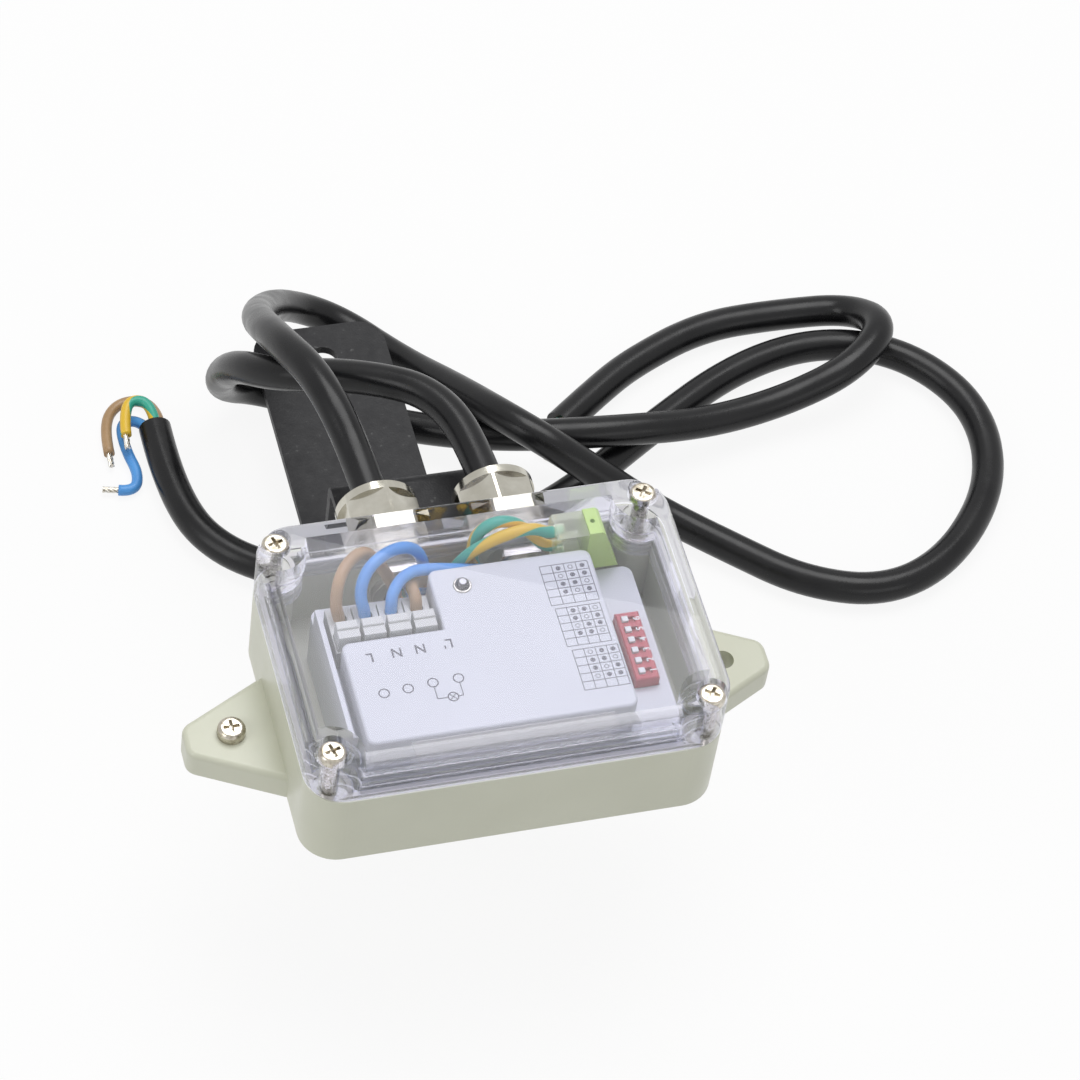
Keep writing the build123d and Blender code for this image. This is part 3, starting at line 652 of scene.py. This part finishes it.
def soft_box(name, at, aim, size, watts, tint=(1, 1, 1)):
    data = bpy.data.lights.new(name, "AREA")
    data.shape = "RECTANGLE"
    data.size, data.size_y = size
    data.energy = watts
    data.color = tint
    lamp = bpy.data.objects.new(name, data)
    lamp.location = at
    lamp.rotation_euler = (Vector(aim) - Vector(at)).to_track_quat("-Z", "Y").to_euler()
    bpy.context.collection.objects.link(lamp)


def seen_white(tree, share):
    # the share for rays that show the backdrop, straight or by way of metal and clear
    # plastic, and 0 for rays that light the object
    path = tree.nodes.new("ShaderNodeLightPath")
    seen = reckon(tree, "MAXIMUM", path.outputs["Is Camera Ray"], path.outputs["Is Glossy Ray"])
    seen = reckon(tree, "MAXIMUM", seen, path.outputs["Is Transmission Ray"])
    return reckon(tree, "MULTIPLY", seen, share)


def make_studio():
    clear_selection()
    bpy.ops.mesh.primitive_plane_add(size=8, location=(0, 0, TABLE_Z - 0.0001))
    floor = bpy.context.object
    floor.name = "studio_floor"
    mat = bpy.data.materials.new("studio paper")
    mat.use_nodes = True
    tree = mat.node_tree
    shader = tree.nodes["Principled BSDF"]
    shader.inputs["Base Color"].default_value = (0.86, 0.86, 0.86, 1)
    shader.inputs["Roughness"].default_value = 0.9
    glow = tree.nodes.new("ShaderNodeEmission")
    glow.inputs["Strength"].default_value = 1.0
    mix = tree.nodes.new("ShaderNodeMixShader")
    tree.links.new(seen_white(tree, 0.9), mix.inputs["Fac"])
    tree.links.new(shader.outputs["BSDF"], mix.inputs[1])
    tree.links.new(glow.outputs["Emission"], mix.inputs[2])
    tree.links.new(mix.outputs["Shader"], tree.nodes["Material Output"].inputs["Surface"])
    floor.data.materials.append(mat)

    world = bpy.data.worlds.new("studio")
    bpy.context.scene.world = world
    world.use_nodes = True
    tree = world.node_tree
    room = tree.nodes["Background"]
    room.inputs["Color"].default_value = (1, 1, 1, 1)
    room.inputs["Strength"].default_value = 0.36
    white = tree.nodes.new("ShaderNodeBackground")
    white.inputs["Strength"].default_value = 1.0
    mix = tree.nodes.new("ShaderNodeMixShader")
    tree.links.new(seen_white(tree, 1.0), mix.inputs["Fac"])
    tree.links.new(room.outputs["Background"], mix.inputs[1])
    tree.links.new(white.outputs["Background"], mix.inputs[2])
    tree.links.new(mix.outputs["Shader"], tree.nodes["World Output"].inputs["Surface"])

    soft_box("top box", (0.15, 0.25, 1.1), (0, -0.08, 0.03), (0.9, 0.7), 8.2)
    soft_box("left box", (-0.9, -0.35, 0.6), (0, -0.1, 0.03), (0.5, 0.7), 2.4)
    soft_box("front box", (0.35, -1.1, 0.55), (0, -0.1, 0.03), (0.8, 0.4), 0.9)
    view = bpy.context.scene.view_settings
    view.view_transform = "Standard"


# ------------------------------------------------------------------ cords
def make_tails(finish, cores):
    for side, route, length in (("left", LEFT_TAIL, 0.598), ("right", RIGHT_TAIL, 0.386)):
        data = new_curve(side + "_cable", SHEATH_R, 10, finish["sheath"])
        add_line(data, route)
        tail = bpy.data.objects.new(side + "_cable", data)
        bpy.context.collection.objects.link(tail)
        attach(tail, "housing")
        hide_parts("cable_" + side)
        for colour in ("earth", "blue", "brown"):
            node = side + "_end_" + colour
            core, path = tube_mesh(side + "_core_" + colour, END_CORES[node], CORE_R, cores[colour])
            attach(core, "housing")
            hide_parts(node)
            bare_strands(side, colour, path, finish["strand"])
        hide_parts(side + "_end_tips")


def bare_strands(side, colour, path, finish):
    # seven tinned wires twisted together, pushed out of the insulation
    way = (path[-1] - path[-3]).normalized()
    across = way.orthogonal().normalized()
    other = way.cross(across)
    data = new_curve("strands", STRAND_R, 2)
    for k in range(STRANDS):
        lay_r = 0.0 if k == STRANDS - 1 else STRAND_LAY_R
        points = []
        for i in range(STRAND_STEPS):
            a = 2 * math.pi * k / (STRANDS - 1) + i * STRAND_TWIST
            points.append(path[-1] + way * (STRAND_STEP * i - STRAND_SUNK)
                          + (across * math.cos(a) + other * math.sin(a)) * lay_r)
        add_line(data, points, 12)
    name = side + "_strands_" + colour
    piece = bpy.data.objects.new(name, data)
    bpy.context.collection.objects.link(piece)
    clear_selection()
    piece.select_set(True)
    bpy.context.view_layer.objects.active = piece
    bpy.ops.object.convert(target="MESH")
    return one_mesh(name, "housing", finish)


def make_inner_cores(cores):
    for node, route in INNER_CORES.items():
        colour = node.split("_")[1]
        core = tube_mesh(node.replace("wire_", "inner_"), route, CORE_R, cores[colour])[0]
        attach(core, "housing")
        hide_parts(node)


# ------------------------------------------------------------------ marks
def make_wiring_sign(top, ink):
    # terminal letters, read from the terminal side, over the circles and the lamp
    letters = (("L", -0.0226, -0.1238), ("N", -0.0173, -0.1235), ("N", -0.0126, -0.1234),
               ("L'", -0.0070, -0.1231))
    for k, (word, x, y) in enumerate(letters):
        printed_word("terminal_letter_%d" % (k + 1), word, LETTER_SIZE, (x, y, top), math.pi, ink,
                     "housing")
    rings = ((-0.0219, -0.1326), (-0.0171, -0.1323), (-0.0121, -0.1318), (-0.0070, -0.1316))
    for k, (x, y) in enumerate(rings):
        printed_ring("terminal_ring_%d" % (k + 1), RING_R, (x, y, top), ink, "housing")
    lamp_x, lamp_y = -0.0090, -0.1357
    printed_ring("lamp_sign", RING_R, (lamp_x, lamp_y, top), ink, "housing")
    lines = []
    for x, y in rings[2:]:
        near = y - RING_R
        lines.append(bar((x, (near + lamp_y) / 2, top), (LINE_W, near - lamp_y, INK_T)))
        side = 1 if x > lamp_x else -1
        lines.append(bar(((x + lamp_x + side * RING_R) / 2, lamp_y, top),
                         (abs(x - lamp_x) - RING_R, LINE_W, INK_T)))
    for turn in (1, -1):
        stroke = bar((0, 0, 0), (CROSS_LENGTH, CROSS_W, INK_T))
        stroke.rotation_euler = (0, 0, turn * math.pi / 4)
        stroke.location = (lamp_x, lamp_y, top)
        bpy.ops.object.transform_apply(location=True, rotation=True, scale=True)
        lines.append(stroke)
    joined(lines, "lamp_lines", "housing", ink)


def printed_dot(at, filled):
    clear_selection()
    if filled:
        bpy.ops.mesh.primitive_cylinder_add(vertices=16, radius=DOT_R, depth=INK_T, location=at)
    else:
        bpy.ops.mesh.primitive_torus_add(major_radius=OPEN_DOT_R, minor_radius=OPEN_DOT_LINE_R,
                                         location=at, major_segments=24, minor_segments=6)
        bpy.context.object.scale = FLATTENED
    bpy.ops.object.transform_apply(location=True, rotation=True, scale=True)
    return bpy.context.object


def make_setting_tables(top, ink):
    # three tables beside the switches, each ruled in 4 columns and 5 rows
    columns, rows = 4, 5
    tables = ((0.0163, 0.0254, -0.1388, -0.1291), (0.0156, 0.0246, -0.1281, -0.1188),
              (0.0151, 0.0248, -0.1179, -0.1082))
    for k, (left, right, low, high) in enumerate(tables):
        wide, deep = right - left, high - low
        rules = []
        for i in range(columns + 1):
            rules.append(bar((left + wide * i / columns, (low + high) / 2, top), (RULE_W, deep, RULE_T)))
        for j in range(rows + 1):
            rules.append(bar(((left + right) / 2, low + deep * j / rows, top), (wide, RULE_W, RULE_T)))
        joined(rules, "setting_table_%d" % (k + 1), "housing", ink)
        dots = []
        for i in range(1, columns):
            for j in range(1, rows):
                at = (left + wide * (i + 0.5) / columns, low + deep * (j + 0.5) / rows, top)
                dots.append(printed_dot(at, (i + 2 * j + k) % 3 != 0))
        joined(dots, "setting_dots_%d" % (k + 1), "housing", ink)


def make_switch_digits(white):
    low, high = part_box("dip_body")
    middle = (low[1] + high[1]) / 2
    for k in range(SWITCH_COUNT):
        y = middle + (k - (SWITCH_COUNT - 1) / 2) * SWITCH_PITCH
        at = (high[0] - DIGIT_INSET, y, high[2] + INK_LIFT)
        printed_word("switch_digit_%d" % (k + 1), str(k + 1), DIGIT_SIZE, at, math.pi / 2, white,
                     "housing")


def make_sensor_ring(nickel, pale):
    low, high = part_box("light_sensor")
    x, y = (low[0] + high[0]) / 2, (low[1] + high[1]) / 2
    clear_selection()
    bpy.ops.mesh.primitive_torus_add(major_radius=0.00160, minor_radius=0.00026,
                                     location=(x, y, SENSOR_RING_Z), major_segments=40,
                                     minor_segments=10)
    bpy.ops.object.shade_smooth()
    one_mesh("light_sensor_ring", "housing", nickel)
    clear_selection()
    bpy.ops.mesh.primitive_uv_sphere_add(segments=28, ring_count=12, radius=0.00078,
                                         location=(x, y, high[2] - 0.0001))
    bpy.context.object.scale = (1, 1, 0.32)
    bpy.ops.object.shade_smooth()
    one_mesh("light_sensor_eye", "housing", pale)


# ------------------------------------------------------------------ putting it together
def dress(nodes, finish):
    for node in nodes:
        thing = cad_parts[node]
        thing.data.materials.clear()
        thing.data.materials.append(finish)


def main():
    make_camera()
    finish = {"sheath": black_sheath(), "strand": tinned_strand()}
    cores = {"brown": core_finish("tan core", (0.47, 0.30, 0.16), (0.38, 0.24, 0.12)),
             "blue": core_finish("blue core", (0.10, 0.36, 0.80), (0.08, 0.30, 0.70)),
             "earth": striped_core()}
    make_tails(finish, cores)
    make_inner_cores(cores)
    make_studio()
    dress(["base"], beige_shell())
    dress(["gasket"], gasket_pale())
    dress(["lid"], clear_lid())
    nickel = nickel_plate()
    dress(["gland_bodies", "gland_locknuts", "dome_nut_left", "dome_nut_right"], nickel)
    dress(["lid_screws", "lug_screw", "bracket_screws", "bracket_nuts"], plated_screw())
    dress(["gland_washers", "gland_seals"], black_rubber())
    dress(["bracket"], powder_coat())
    dress(["module_tray", "module_cover"], module_white())
    dress(["circuit_board", "antenna_board"], board_green())
    dress(["relay"], relay_black())
    dress(["terminal_block"] + ["terminal_button_%d" % (i + 1) for i in range(BUTTON_COUNT)],
          terminal_cream())
    dress(["dip_body"], switch_red())
    dress(["dip_slider_%d" % (i + 1) for i in range(SWITCH_COUNT)], switch_white())
    dress(["light_sensor"], smoked_lens())
    dress(["label_plate"], blank_label())
    dress(["splice_clear"], splice_clear())
    dress(["splice_cap"], splice_lime())
    white = white_ink()
    ink = grey_ink()
    cover_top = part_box("module_cover")[1][2] + INK_LIFT
    make_wiring_sign(cover_top, ink)
    make_setting_tables(cover_top, ink)
    make_switch_digits(white)
    make_sensor_ring(nickel, white)


main()
clear_selection()
